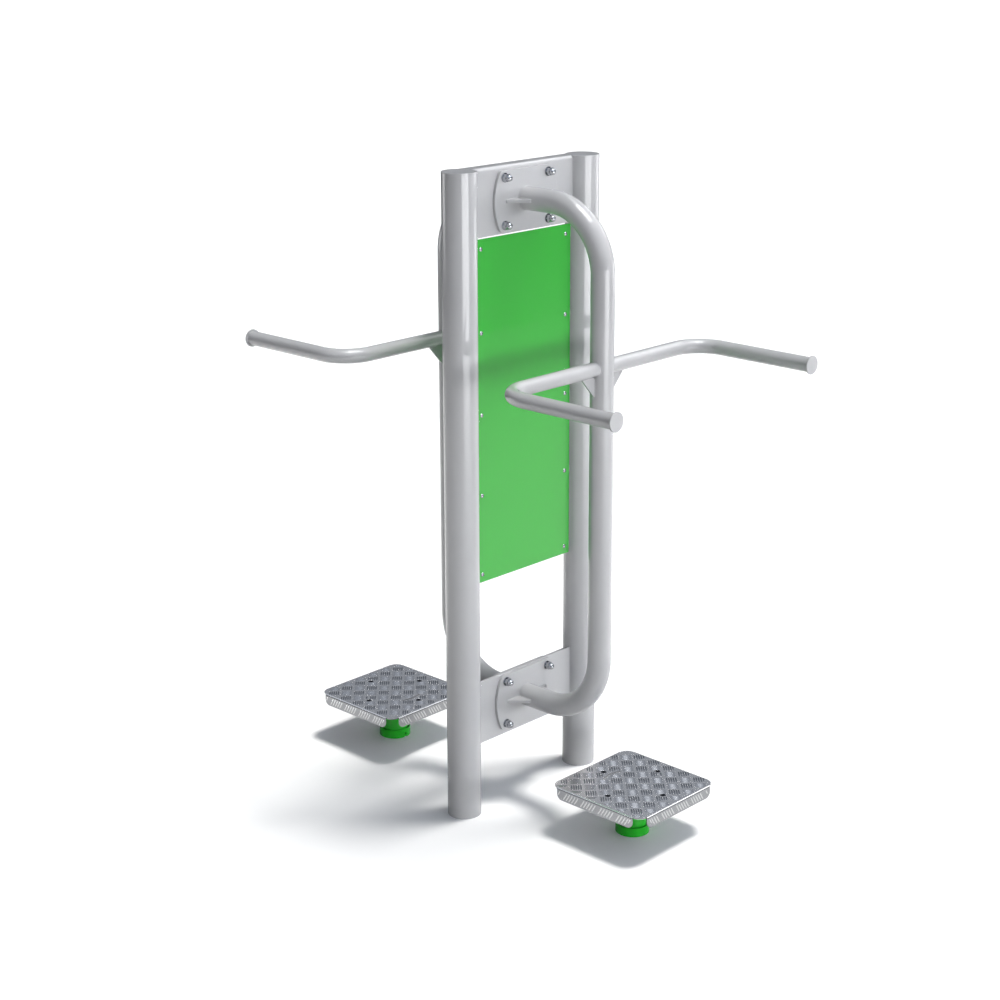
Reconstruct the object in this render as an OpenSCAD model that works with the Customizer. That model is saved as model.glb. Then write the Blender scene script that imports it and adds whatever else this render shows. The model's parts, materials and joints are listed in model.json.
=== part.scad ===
// Outdoor double twister: two posts with cross plates and a panel between them, a C-shaped arm
// bolted on front and rear, two handles welded to each arm, and a turning platform on a
// pedestal in front of and behind the frame.
// Origin on the ground midway between the posts. X runs along the panel, Y to the rear, Z up.

/* [Posts] */
// Outside diameter of each post
post_d = 88.9; // [76:0.1:102]
// Wall of the post tube
post_wall = 3.6; // [2.5:0.1:6]
// Height of a post with its cap
post_h = 1706; // [1704:1:1900]
// Distance between the two post centres
post_spacing = 454; // [448:1:500]
// Thickness of the welded post caps
cap_t = 4; // [2:0.5:8]

/* [Cross plates] */
// Height of each cross plate
plate_h = 172; // [168:1:174]
// Thickness of the cross plates
plate_t = 8; // [5:0.5:8.5]
// How far the face of the cross plates lies in front of the post centres
plate_front = 6; // [3:0.5:12]
// Height of the lower cross plate's bottom edge above the ground
lower_plate_z = 181; // [178:1:193]
// Depth of the folded top of the upper cross plate, from its face
fold_depth = 39; // [20:1:44]
// Outside radius of that fold
fold_r = 9; // [8.6:0.1:12]

/* [Panel] */
// Width of the panel
panel_w = 352; // [320:1:358]
// Height of the panel
panel_h = 900; // [880:1:902]
// Thickness of the panel
panel_t = 4; // [2:0.5:8]
// Height of the panel's bottom edge above the ground
panel_z = 630; // [600:1:632]
// Distance of the screw columns from the panel's side edges
screw_inset = 18.2; // [12:0.1:22]
// Height of the lowest screws above the panel's bottom edge
screw_first = 20.5; // [12:0.5:24]
// Distance between screws up the panel
screw_pitch = 213.5; // [190:0.5:214]
// Height of the tabs that carry the panel
tab_h = 20; // [14:1:24]
// Thickness of the tabs
tab_t = 3; // [2:0.5:5]
// Length of the tabs behind the panel, from the panel's edge inwards
tab_overlap = 30; // [28:1:40]

/* [Arms] */
// Outside diameter of the arm tubes
arm_d = 60.3; // [48:0.1:64]
// Wall of the arm tubes
arm_wall = 3; // [2:0.1:5]
// Distance of the arm's upright run from its flange seat
arm_reach = 264.5; // [230:0.5:290]
// Centreline radius of the arm bends
arm_bend_r = 170; // [120:1:185]
// Height of the lower leg of the arms
arm_low_z = 272.3; // [271:0.1:274]
// Distance between the two legs of an arm
arm_rise = 1344.2; // [1340:0.1:1346]

/* [Arm flanges] */
// Height of the flange plates
flange_h = 156; // [148:1:158]
// Width of the flange plates at their widest
flange_w = 230; // [220:1:250]
// Radius of the bulged sides of the flange plates
flange_side_r = 149; // [130:1:200]
// Radius of the flange corners
flange_corner_r = 14; // [6:1:18]
// Thickness of the flange plates
flange_t = 8; // [5:0.5:12]
// Distance between the bolts along X
bolt_pitch_x = 160; // [150:1:162]
// Distance between the bolts along Z
bolt_pitch_z = 120; // [110:1:124]
// Diameter of the flange bolts
bolt_d = 12; // [10:0.5:12]
// Clearance of the bolt holes, on the diameter
bolt_hole_play = 1; // [0.5:0.1:2]
// Length of the flange ribs along the arm
rib_l = 44; // [30:1:60]
// Width of the flange ribs beside the arm
rib_w = 45; // [30:1:46]
// Thickness of the flange ribs
rib_t = 8; // [4:0.5:10]

/* [Handles] */
// Outside diameter of the handle tubes
handle_d = 38; // [32:0.5:42]
// Wall of the handle tubes
handle_wall = 2.5; // [1.5:0.1:4]
// Height of the handles above the ground
handle_z = 1218.4; // [1100:0.1:1300]
// Distance of the handle grips from the middle of the object
handle_x = 375.5; // [300:0.5:420]
// Distance of the handle ends from the arm's upright run
handle_reach = 368.5; // [300:0.5:420]
// Centreline radius of the handle bends
handle_bend_r = 85; // [60:1:120]
// Diameter of the caps on the handle ends
end_cap_d = 47; // [43:0.5:56]
// Thickness of the caps on the handle ends
end_cap_t = 4; // [2:0.5:8]
// Height of the gussets under the handles
gusset_h = 50; // [30:1:70]
// Width of the gussets under the handles
gusset_w = 45; // [30:1:60]
// Thickness of those gussets
gusset_t = 5; // [3:0.5:8]

/* [Platforms] */
// Distance of the front platform's axis in front of the frame
front_y = 390; // [380:1:480]
// Distance of the rear platform's axis behind the frame
rear_y = 509.6; // [400:0.1:560]
// Side of the square treads
tread_w = 308; // [290:1:340]
// Height of the treads above the ground
tread_z = 131; // [129:1:150]
// Thickness of the tread sheet
tread_t = 3; // [2:0.5:3.5]
// Outside radius of the folds along the edges of a tread
tread_fold_r = 4; // [3.6:0.1:6]
// Depth of the folded lips, from the top of the tread
lip_h = 31; // [22:1:38]
// Radius of the tread corners
tread_corner_r = 28; // [20:1:40]
// Radius of the lower corners of the lips
lip_corner_r = 16; // [8:1:17]
// Circle that the tread screws lie on
screw_circle_d = 200; // [184:1:216]
// Width of the arc slot
slot_w = 5.5; // [4:0.5:8]
// Radius of the arc slot
slot_r = 78; // [70:1:82]
// Angle that the arc slot covers
slot_angle = 48; // [30:1:60]

/* [Pedestals] */
// Outside diameter of the base ring
ring_d = 88.9; // [88:0.1:96]
// Wall of the base ring
ring_wall = 3.2; // [2.5:0.1:4]
// Height of the base ring
ring_h = 24; // [20:1:30]
// Width of the drain notch
notch_w = 8; // [5:0.5:12]
// Height of the drain notch
notch_h = 14; // [12:0.5:18]
// Thickness of the base disc
disc_t = 6; // [4:0.5:7]
// Outside diameter of the skirt at its lower edge
skirt_d = 77; // [74:0.5:78]
// Height of the skirt
skirt_h = 50; // [40:1:70]
// Thickness of the skirt sheet
skirt_t = 2.5; // [1.5:0.1:3]
// Outside diameter of the hub
hub_d = 62; // [60:0.5:63]
// Diameter of the carrier plate under the tread
carrier_d = 236; // [234:1:250]
// Thickness of the carrier plate
carrier_t = 6; // [4:0.5:8]

/* [Bearings] */
// Bore of the two bearings in each pedestal
bearing_bore = 30; // [29:0.5:31]
// Outside diameter of the bearings
bearing_d = 55; // [54:0.5:56]
// Width of the bearings
bearing_w = 13; // [12:0.5:15]
// Diameter of the bearing balls
ball_d = 7; // [6:0.1:7.5]
// Balls in each bearing
ball_count = 11; // [7:1:11]
// Height of the lower bearing's middle above the ground
bearing_low_z = 28; // [27:1:32]
// Distance between the two bearings
bearing_pitch = 58; // [40:1:62]

/* [Hidden] */
$fn = 64;

// Overrun of a cut past the faces that it goes through
overrun = 1;
// Gap between a piece and the round tube that it is welded to, which the weld fills
weld_gap = 0.2;
// Radial clearance of a piece that sits in or on another
seat_gap = 0.05;

// Places along the posts
post_x = post_spacing / 2;
post_tube_h = post_h - cap_t;
upper_plate_z = post_h - plate_h;
arm_high_z = arm_low_z + arm_rise;

// Panel hardware
panel_back = tab_t / 2;
screw_rows = 5;
screw_d = 6;
screw_hole_play = 0.5;
screw_head_d = 11;
screw_head_h = 3.3;
screw_socket_af = 4;
screw_socket_depth = 2;
screw_nut_af = 10;
screw_nut_h = 5;
screw_tail = 1.5;

// Flange hardware
bolt_head_af = 19;
bolt_head_h = 7.5;
washer_d = 24;
washer_t = 2.5;
nut_hex_h = 10;
nut_dome_d = 17.5;
nut_h = 22;
nut_depth = 16;
rib_blunt = 6;

// Handle details
gusset_blunt = 5;
end_plug_l = 18;
end_plug_gap = 0.3;
end_cap_edge = 1;

// Pedestal details, from the ground up
anchor_hole_d = 9;
anchor_circle_d = 54;
anchor_count = 3;
skirt_clear = 6;
shaft_step = 3;
hub_lip = 1.5;
seal_h = 4;
seal_gap = 0.4;
race_t = 3.6;
groove_gap = 0.15;
land_t = 3;
shaft_tail = 1.5;
retainer_t = 4;
end_bolt_d = 12;
end_bolt_depth = 24;
end_head_af = 19;
end_head_h = 7.5;
bearing_high_z = bearing_low_z + bearing_pitch;
shaft_top_z = bearing_high_z + bearing_w / 2 - shaft_tail;
hub_bottom_z = bearing_low_z - bearing_w / 2 - seal_h - hub_lip;
hub_top_z = tread_z - tread_t - carrier_t;
ball_circle_d = (bearing_bore + bearing_d) / 2;

// Carrier and tread hardware
carrier_rib_h = 22;
carrier_rib_t = 5;
carrier_rib_end = 4;
tread_screw_d = 8;
tread_screw_play = 0.5;
tread_head_d = 15;
tread_head_gap = 0.2;
tread_socket_af = 5;
tread_socket_depth = 2;
tread_nut_af = 13;
tread_nut_h = 6.5;
tread_screw_tail = 1.5;

// Colours, as red, green and blue shares
grey_paint = [0.78, 0.78, 0.79];
panel_green = [0.28, 0.76, 0.30];
pedestal_green = [0.10, 0.58, 0.12];
bare_aluminium = [0.62, 0.63, 0.65];
stainless = [0.70, 0.71, 0.72];
black_rubber = [0.08, 0.08, 0.08];

// Helpers

// A cylinder with a concentric bore, standing on the XY plane
module ring(outer_d, inner_d, h) {
    difference() {
        cylinder(d = outer_d, h = h);
        translate([0, 0, -overrun]) cylinder(d = inner_d, h = h + 2 * overrun);
    }
}

// A hexagonal prism standing on the XY plane
module hex_prism(across_flats, h) {
    cylinder(d = across_flats / cos(30), h = h, $fn = 6);
}

// A quarter bend of a round bar, from the +X axis round to the +Y axis
module bend(bend_r, d) {
    rotate_extrude(angle = 90) translate([bend_r, 0]) circle(d = d);
}

// Children as they are for side 1, mirrored in X for side -1
module on_side(side) {
    if (side < 0) mirror([1, 0, 0]) children();
    else children();
}

// Children copied to both post axes
module at_posts() {
    for (side = [-1, 1]) translate([side * post_x, 0, 0]) children();
}

// The front arm's frame: its flange seat is the plane y = 0 and the arm reaches towards -Y
module at_front() {
    translate([0, -plate_front, 0]) children();
}

// The rear arm is the same arm turned round and seated on the back of the cross plates
module at_rear() {
    translate([0, plate_t - plate_front, 0]) rotate([0, 0, 180]) children();
}

// Children copied to the four bolt places of the flange at height z
module at_bolts(z) {
    for (side = [-1, 1], up = [-1, 1])
        translate([side * bolt_pitch_x / 2, 0, z + up * bolt_pitch_z / 2]) children();
}

// Children copied to the bolt places of the lower and the upper flange
module at_all_bolts() {
    for (z = [arm_low_z, arm_high_z]) at_bolts(z) children();
}

// Posts and cross plates

module post(side) {
    translate([side * post_x, 0, 0]) ring(post_d, post_d - 2 * post_wall, post_tube_h);
}

module left_post() {
    color(grey_paint) post(-1);
}

module right_post() {
    color(grey_paint) post(1);
}

module post_caps() {
    color(grey_paint) at_posts() translate([0, 0, post_tube_h]) cylinder(d = post_d, h = cap_t);
}

// Space that the posts take from the plates and tabs welded to them
module post_space() {
    at_posts() translate([0, 0, -overrun])
        cylinder(d = post_d + 2 * weld_gap, h = post_h + 2 * overrun);
}

// Holes for the flange bolts in the cross plates
module bolt_holes() {
    at_all_bolts() translate([0, plate_t - plate_front + overrun, 0]) rotate([90, 0, 0])
        cylinder(d = bolt_d + bolt_hole_play, h = plate_t + 2 * overrun);
}

// Section of the upper plate: an upright web whose top is folded to the rear
module fold_section() {
    square([plate_t, plate_h - fold_r]);
    translate([fold_r, plate_h - plate_t]) square([fold_depth - fold_r, plate_t]);
    translate([fold_r, plate_h - fold_r]) intersection() {
        difference() {
            circle(r = fold_r);
            circle(r = fold_r - plate_t);
        }
        translate([-fold_r, 0]) square([fold_r, fold_r]);
    }
}

module upper_cross_plate() {
    color(grey_paint) difference() {
        translate([-post_x, -plate_front, upper_plate_z])
            rotate([90, 0, 90]) linear_extrude(height = post_spacing) fold_section();
        post_space();
        bolt_holes();
    }
}

module lower_cross_plate() {
    color(grey_paint) difference() {
        translate([-post_x, -plate_front, lower_plate_z]) cube([post_spacing, plate_t, plate_h]);
        post_space();
        bolt_holes();
    }
}

// Panel

// Children copied to every panel screw, at the back face of the panel
module at_panel_screws() {
    for (side = [-1, 1], row = [0 : screw_rows - 1])
        translate([
            side * (panel_w / 2 - screw_inset), -panel_back,
            panel_z + screw_first + row * screw_pitch
        ]) children();
}

// Holes for the panel screws through the panel and its tabs
module panel_screw_holes() {
    at_panel_screws() translate([0, -panel_t - overrun, 0]) rotate([-90, 0, 0])
        cylinder(d = screw_d + screw_hole_play, h = panel_t + tab_t + 2 * overrun);
}

module panel() {
    color(panel_green) difference() {
        translate([-panel_w / 2, -panel_back - panel_t, panel_z]) cube([panel_w, panel_t, panel_h]);
        panel_screw_holes();
    }
}

// Tabs that reach from the posts behind the panel, one for each screw
module panel_tabs() {
    tab_x = panel_w / 2 - tab_overlap;
    tab_l = post_x - tab_x;
    color(grey_paint) difference() {
        at_panel_screws()
            translate([0, tab_t / 2, 0]) cube([2 * tab_l, tab_t, tab_h], center = true);
        post_space();
        cube([2 * tab_x, 2 * post_d, 2 * post_h], center = true);
        panel_screw_holes();
    }
}

// Button-head screw whose head seats on the plane y = 0, with its tail towards +Y
module panel_screw() {
    cap_r = (screw_head_d * screw_head_d / 4 + screw_head_h * screw_head_h) / (2 * screw_head_h);
    difference() {
        union() {
            rotate([-90, 0, 0]) cylinder(d = screw_d, h = panel_t + tab_t + screw_nut_h + screw_tail);
            rotate([90, 0, 0]) intersection() {
                cylinder(d = screw_head_d, h = screw_head_h);
                translate([0, 0, screw_head_h - cap_r]) sphere(r = cap_r);
            }
        }
        translate([0, screw_socket_depth - screw_head_h, 0])
            rotate([90, 0, 0]) hex_prism(screw_socket_af, screw_head_h);
    }
}

module panel_screws() {
    color(stainless) at_panel_screws() translate([0, -panel_t, 0]) panel_screw();
}

module panel_nuts() {
    color(stainless) at_panel_screws() translate([0, tab_t, 0]) rotate([-90, 0, 0]) difference() {
        hex_prism(screw_nut_af, screw_nut_h);
        translate([0, 0, -overrun]) cylinder(d = screw_d + 2 * seat_gap, h = screw_nut_h + 2 * overrun);
    }
}

// Arms, in the arm's own frame

// The C-shaped route of an arm as a round bar of diameter d, its two ends run on by extra
module arm_route(d, extra) {
    leg = arm_reach - arm_bend_r - flange_t;
    for (end = [-1, 1]) translate([0, 0, (arm_low_z + arm_high_z) / 2]) {
        translate([0, extra - flange_t, end * arm_rise / 2])
            rotate([90, 0, 0]) cylinder(d = d, h = leg + extra);
        translate([0, arm_bend_r - arm_reach, end * (arm_rise / 2 - arm_bend_r)])
            rotate([end * 90, 0, -90]) bend(arm_bend_r, d);
    }
    translate([0, -arm_reach, arm_low_z + arm_bend_r]) cylinder(d = d, h = arm_rise - 2 * arm_bend_r);
}

module arm() {
    difference() {
        arm_route(arm_d, 0);
        arm_route(arm_d - 2 * arm_wall, overrun);
    }
}

module front_arm() {
    color(grey_paint) at_front() arm();
}

module rear_arm() {
    color(grey_paint) at_rear() arm();
}

// Outline of a flange plate: straight top and bottom, bulged sides, rounded corners
module flange_outline() {
    side_x = flange_w / 2 - flange_side_r;
    corner_y = flange_h / 2 - flange_corner_r;
    corner_reach = flange_side_r - flange_corner_r;
    corner_x = side_x + sqrt(corner_reach * corner_reach - corner_y * corner_y);
    square([2 * corner_x, flange_h], center = true);
    for (side = [-1, 1]) on_side(side) {
        for (up = [-1, 1]) translate([corner_x, up * corner_y]) circle(r = flange_corner_r);
        translate([side_x, 0]) intersection() {
            circle(r = flange_side_r, $fn = 128);
            polygon([
                [0, 0], [2 * (corner_x - side_x), -2 * corner_y], [2 * (corner_x - side_x), 2 * corner_y]
            ]);
        }
    }
}

module flange(z) {
    difference() {
        translate([0, 0, z]) rotate([90, 0, 0]) linear_extrude(height = flange_t) flange_outline();
        at_bolts(z) translate([0, overrun, 0]) rotate([90, 0, 0])
            cylinder(d = bolt_d + bolt_hole_play, h = flange_t + 2 * overrun);
    }
}

module front_upper_flange() {
    color(grey_paint) at_front() flange(arm_high_z);
}

module front_lower_flange() {
    color(grey_paint) at_front() flange(arm_low_z);
}

module rear_upper_flange() {
    color(grey_paint) at_rear() flange(arm_high_z);
}

module rear_lower_flange() {
    color(grey_paint) at_rear() flange(arm_low_z);
}

// The two flat ribs beside the arm leg at height z
module rib_pair(z) {
    root_x = arm_d / 2 + weld_gap;
    for (side = [-1, 1]) translate([0, -flange_t, z - rib_t / 2]) on_side(side)
        linear_extrude(height = rib_t) polygon([
            [root_x, 0], [root_x + rib_w, 0], [root_x + rib_w, -rib_blunt / 2],
            [root_x + rib_blunt, -rib_l], [root_x, -rib_l]
        ]);
}

module flange_ribs() {
    color(grey_paint) for (z = [arm_low_z, arm_high_z]) {
        at_front() rib_pair(z);
        at_rear() rib_pair(z);
    }
}

// Bolt through both flanges, with its head at the rear and its tail in the cap nut
module flange_bolt() {
    grip = plate_t + 2 * (flange_t + washer_t);
    translate([0, plate_t - plate_front + flange_t + washer_t, 0]) {
        rotate([90, 0, 0]) cylinder(d = bolt_d, h = grip + nut_depth - overrun);
        rotate([-90, 0, 0]) hex_prism(bolt_head_af, bolt_head_h);
    }
}

module flange_bolts() {
    color(stainless) at_all_bolts() flange_bolt();
}

module washer() {
    translate([0, -flange_t, 0]) rotate([90, 0, 0]) ring(washer_d, bolt_d + bolt_hole_play, washer_t);
}

module flange_washers() {
    color(stainless) at_all_bolts() {
        at_front() washer();
        at_rear() washer();
    }
}

// Cap nut on the XY plane, with its dome towards +Z
module cap_nut() {
    difference() {
        union() {
            hex_prism(bolt_head_af, nut_hex_h);
            cylinder(d = nut_dome_d, h = nut_h - nut_dome_d / 2);
            translate([0, 0, nut_h - nut_dome_d / 2]) sphere(d = nut_dome_d);
        }
        translate([0, 0, -overrun]) cylinder(d = bolt_d + 2 * seat_gap, h = nut_depth + overrun);
    }
}

module cap_nuts() {
    color(stainless) at_front() at_all_bolts()
        translate([0, -flange_t - washer_t, 0]) rotate([90, 0, 0]) cap_nut();
}

// Handles, in the arm's own frame

// Route of the right handle as a round bar of diameter d, its outer end run on by extra
module handle_route(d, extra) {
    run_x = handle_x - handle_bend_r;
    run_y = handle_reach - end_cap_t - handle_bend_r;
    rotate([0, 90, 0]) cylinder(d = d, h = run_x);
    translate([run_x, -handle_bend_r, 0]) bend(handle_bend_r, d);
    translate([handle_x, -handle_bend_r, 0]) rotate([90, 0, 0]) cylinder(d = d, h = run_y + extra);
}

module handle(side) {
    translate([0, -arm_reach, handle_z]) on_side(side) difference() {
        handle_route(handle_d, 0);
        handle_route(handle_d - 2 * handle_wall, overrun);
        cylinder(d = arm_d + 2 * weld_gap, h = 2 * handle_d, center = true);
    }
}

module front_left_handle() {
    color(grey_paint) at_front() handle(-1);
}

module front_right_handle() {
    color(grey_paint) at_front() handle(1);
}

// The rear arm is turned round, so its own right side is on the left of the object
module rear_left_handle() {
    color(grey_paint) at_rear() handle(1);
}

module rear_right_handle() {
    color(grey_paint) at_rear() handle(-1);
}

// Upright gussets between an arm and the undersides of its two handles
module gusset_pair() {
    root_x = arm_d / 2 + weld_gap;
    top = handle_z - handle_d / 2 - weld_gap;
    for (side = [-1, 1]) on_side(side) translate([0, gusset_t / 2 - arm_reach, 0])
        rotate([90, 0, 0]) linear_extrude(height = gusset_t) polygon([
            [root_x, top - gusset_blunt], [root_x + gusset_blunt, top], [root_x + gusset_w, top],
            [root_x + gusset_w, top - gusset_blunt / 2],
            [root_x + gusset_blunt / 2, top - gusset_h], [root_x, top - gusset_h]
        ]);
}

module handle_gussets() {
    color(grey_paint) {
        at_front() gusset_pair();
        at_rear() gusset_pair();
    }
}

// Cap on a handle end: a disc with a chamfered rim, and a plug inside the tube
module end_cap() {
    cylinder(d = end_cap_d, h = end_cap_t - end_cap_edge);
    translate([0, 0, end_cap_t - end_cap_edge])
        cylinder(d1 = end_cap_d, d2 = end_cap_d - 2 * end_cap_edge, h = end_cap_edge);
    translate([0, 0, -end_plug_l])
        cylinder(d = handle_d - 2 * handle_wall - 2 * end_plug_gap, h = end_plug_l);
}

module end_cap_pair() {
    for (side = [-1, 1])
        translate([side * handle_x, end_cap_t - arm_reach - handle_reach, handle_z])
            rotate([90, 0, 0]) end_cap();
}

module handle_end_caps() {
    color(grey_paint) {
        at_front() end_cap_pair();
        at_rear() end_cap_pair();
    }
}

// Pedestals and platforms, each in a frame with the turning axis as Z and the posts towards +Y

module at_front_pedestal() {
    translate([0, -front_y, 0]) children();
}

module at_rear_pedestal() {
    translate([0, rear_y, 0]) rotate([0, 0, 180]) children();
}

// Ring on the ground with a round-topped drain notch towards the posts
module base_ring() {
    color(pedestal_green) difference() {
        ring(ring_d, ring_d - 2 * ring_wall, ring_h);
        rotate([-90, 0, 0]) {
            translate([0, notch_w / 2 - notch_h, 0]) cylinder(d = notch_w, h = ring_d);
            translate([-notch_w / 2, notch_w / 2 - notch_h, 0]) cube([notch_w, notch_h, ring_d]);
        }
    }
}

// Disc inside the base ring that carries the spindle, with anchor holes
module base_disc() {
    color(pedestal_green) difference() {
        cylinder(d = ring_d - 2 * ring_wall - 2 * weld_gap, h = disc_t);
        for (i = [0 : anchor_count - 1]) rotate([0, 0, 90 + 360 * i / anchor_count])
            translate([anchor_circle_d / 2, 0, -overrun])
                cylinder(d = anchor_hole_d, h = disc_t + 2 * overrun);
    }
}

// Fixed spindle with a shoulder under the lower bearing and a hole for the end bolt
module spindle() {
    color(stainless) difference() {
        union() {
            translate([0, 0, disc_t]) cylinder(d = bearing_bore, h = shaft_top_z - disc_t);
            translate([0, 0, disc_t]) cylinder(
                d = bearing_bore + 2 * shaft_step, h = bearing_low_z - bearing_w / 2 - disc_t
            );
        }
        translate([0, 0, shaft_top_z - end_bolt_depth])
            cylinder(d = end_bolt_d + 2 * seat_gap, h = end_bolt_depth + overrun);
    }
}

// Children copied to the middle of both bearings
module at_bearings() {
    for (z = [bearing_low_z, bearing_high_z]) translate([0, 0, z]) children();
}

module ball_groove() {
    rotate_extrude() translate([ball_circle_d / 2, 0]) circle(d = ball_d + 2 * groove_gap);
}

module inner_races() {
    bore = bearing_bore + 2 * seat_gap;
    color(stainless) at_bearings() difference() {
        translate([0, 0, -bearing_w / 2]) ring(bore + 2 * race_t, bore, bearing_w);
        ball_groove();
    }
}

module outer_races() {
    color(stainless) at_bearings() difference() {
        translate([0, 0, -bearing_w / 2]) ring(bearing_d, bearing_d - 2 * race_t, bearing_w);
        ball_groove();
    }
}

module bearing_balls() {
    color(stainless) at_bearings() for (i = [0 : ball_count - 1])
        rotate([0, 0, 90 + 360 * i / ball_count]) translate([ball_circle_d / 2, 0, 0]) sphere(d = ball_d);
}

// Washer that keeps the upper bearing on the spindle
module retainer() {
    color(stainless) translate([0, 0, bearing_high_z + bearing_w / 2])
        ring(bearing_bore + 2 * race_t, end_bolt_d + bolt_hole_play, retainer_t);
}

// Hexagon bolt into the spindle's end
module spindle_bolt() {
    seat = bearing_high_z + bearing_w / 2 + retainer_t;
    tip = shaft_top_z - end_bolt_depth + overrun;
    color(stainless) {
        translate([0, 0, seat]) hex_prism(end_head_af, end_head_h);
        translate([0, 0, tip]) cylinder(d = end_bolt_d, h = seat - tip);
    }
}

// Rubber ring that closes the hub under the lower bearing
module seal() {
    color(black_rubber) translate([0, 0, bearing_low_z - bearing_w / 2 - seal_h])
        ring(bearing_d, bearing_bore + 2 * (shaft_step + seal_gap), seal_h);
}

// Turning hub: a tube round both bearings, with a land between their outer races
module hub() {
    low_face = bearing_low_z + bearing_w / 2;
    high_face = bearing_high_z - bearing_w / 2;
    color(grey_paint) difference() {
        translate([0, 0, hub_bottom_z]) cylinder(d = hub_d, h = hub_top_z - hub_bottom_z);
        translate([0, 0, hub_bottom_z - overrun])
            cylinder(d = bearing_d + 2 * seat_gap, h = low_face - hub_bottom_z + overrun);
        translate([0, 0, high_face])
            cylinder(d = bearing_d + 2 * seat_gap, h = hub_top_z - high_face + overrun);
        cylinder(d = bearing_d - 2 * land_t, h = hub_top_z);
    }
}

// Tapered skirt round the hub that turns inside the base ring
module skirt() {
    bottom_z = disc_t + skirt_clear;
    top_d = hub_d + 2 * (weld_gap + skirt_t);
    slope = (skirt_d - top_d) / skirt_h;
    color(pedestal_green) translate([0, 0, bottom_z]) difference() {
        cylinder(d1 = skirt_d, d2 = top_d, h = skirt_h);
        translate([0, 0, -overrun]) cylinder(
            d1 = skirt_d - 2 * skirt_t + slope * overrun,
            d2 = top_d - 2 * skirt_t - slope * overrun,
            h = skirt_h + 2 * overrun
        );
    }
}

// Children copied to the four tread screws
module at_tread_screws() {
    for (i = [0 : 3]) rotate([0, 0, 90 * i]) translate([screw_circle_d / 2, 0, 0]) children();
}

// Round plate on top of the hub that the tread is screwed to
module carrier() {
    color(grey_paint) translate([0, 0, hub_top_z]) difference() {
        ring(carrier_d, bearing_d + 2 * seat_gap, carrier_t);
        at_tread_screws() translate([0, 0, -overrun])
            cylinder(d = tread_screw_d + tread_screw_play, h = carrier_t + 2 * overrun);
    }
}

// Four ribs between the hub and the underside of the carrier
module carrier_ribs() {
    root_x = hub_d / 2 + weld_gap;
    end_x = carrier_d / 2 - carrier_rib_end;
    color(grey_paint) for (i = [0 : 3]) rotate([0, 0, 90 * i + 45])
        translate([0, carrier_rib_t / 2, hub_top_z]) rotate([90, 0, 0])
            linear_extrude(height = carrier_rib_t) polygon([
                [root_x, 0], [end_x, 0], [end_x, -carrier_rib_end], [root_x, -carrier_rib_h]
            ]);
}

// Flat part of the tread, with plain corners and its sides stepped in for the folds
module tread_flat() {
    straight = tread_w - 2 * tread_corner_r;
    inset = tread_w - 2 * tread_fold_r;
    square([straight, inset], center = true);
    square([inset, straight], center = true);
    for (side = [-1, 1], end = [-1, 1])
        translate([side * straight / 2, end * straight / 2]) circle(r = tread_corner_r - tread_fold_r);
}

// Section of a folded edge, from the end of the flat part down the lip
module lip_section() {
    intersection() {
        difference() {
            circle(r = tread_fold_r);
            circle(r = tread_fold_r - tread_t);
        }
        square([tread_fold_r, tread_fold_r]);
    }
    translate([tread_fold_r - tread_t, tread_fold_r - lip_h]) square([tread_t, lip_h - tread_fold_r]);
}

// Outline of a lip seen from outside, with its two lower corners rounded
module lip_outline() {
    straight = tread_w - 2 * tread_corner_r;
    translate([-straight / 2, lip_corner_r - lip_h]) square([straight, lip_h - lip_corner_r]);
    translate([lip_corner_r - straight / 2, -lip_h]) square([straight - 2 * lip_corner_r, lip_h]);
    for (side = [-1, 1])
        translate([side * (straight / 2 - lip_corner_r), lip_corner_r - lip_h]) circle(r = lip_corner_r);
}

// One folded edge with its lip, on the +X side
module lip() {
    straight = tread_w - 2 * tread_corner_r;
    intersection() {
        translate([tread_w / 2 - tread_fold_r, straight / 2, -tread_fold_r])
            rotate([90, 0, 0]) linear_extrude(height = straight) lip_section();
        translate([tread_w / 2 - tread_fold_r - overrun, 0, 0])
            rotate([90, 0, 90]) linear_extrude(height = tread_fold_r + 2 * overrun) lip_outline();
    }
}

// Arc slot through the tread, on the side towards the posts
module arc_slot() {
    translate([0, 0, -tread_t - overrun]) {
        rotate([0, 0, 90 - slot_angle / 2]) rotate_extrude(angle = slot_angle)
            translate([slot_r - slot_w / 2, 0]) square([slot_w, tread_t + 2 * overrun]);
        for (end = [-1, 1]) rotate([0, 0, 90 + end * slot_angle / 2])
            translate([slot_r, 0, 0]) cylinder(d = slot_w, h = tread_t + 2 * overrun);
    }
}

// Folded sheet tread with countersunk screw holes
module tread() {
    hole_d = tread_screw_d + tread_screw_play;
    sink_d = tread_head_d + 2 * tread_head_gap;
    color(bare_aluminium) translate([0, 0, tread_z]) difference() {
        union() {
            translate([0, 0, -tread_t]) linear_extrude(height = tread_t) tread_flat();
            for (i = [0 : 3]) rotate([0, 0, 90 * i]) lip();
        }
        arc_slot();
        at_tread_screws() translate([0, 0, -tread_t]) {
            translate([0, 0, -overrun]) cylinder(d = hole_d, h = tread_t);
            cylinder(d1 = hole_d, d2 = sink_d, h = tread_t);
            translate([0, 0, tread_t]) cylinder(d = sink_d, h = overrun);
        }
    }
}

// Countersunk tread screws with hexagon sockets
module tread_screws() {
    shank_l = carrier_t + tread_nut_h + tread_screw_tail;
    color(stainless) at_tread_screws() translate([0, 0, tread_z - tread_t]) difference() {
        union() {
            cylinder(d1 = tread_screw_d, d2 = tread_head_d, h = tread_t);
            translate([0, 0, -shank_l]) cylinder(d = tread_screw_d, h = shank_l);
        }
        translate([0, 0, tread_t - tread_socket_depth]) hex_prism(tread_socket_af, tread_t);
    }
}

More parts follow.
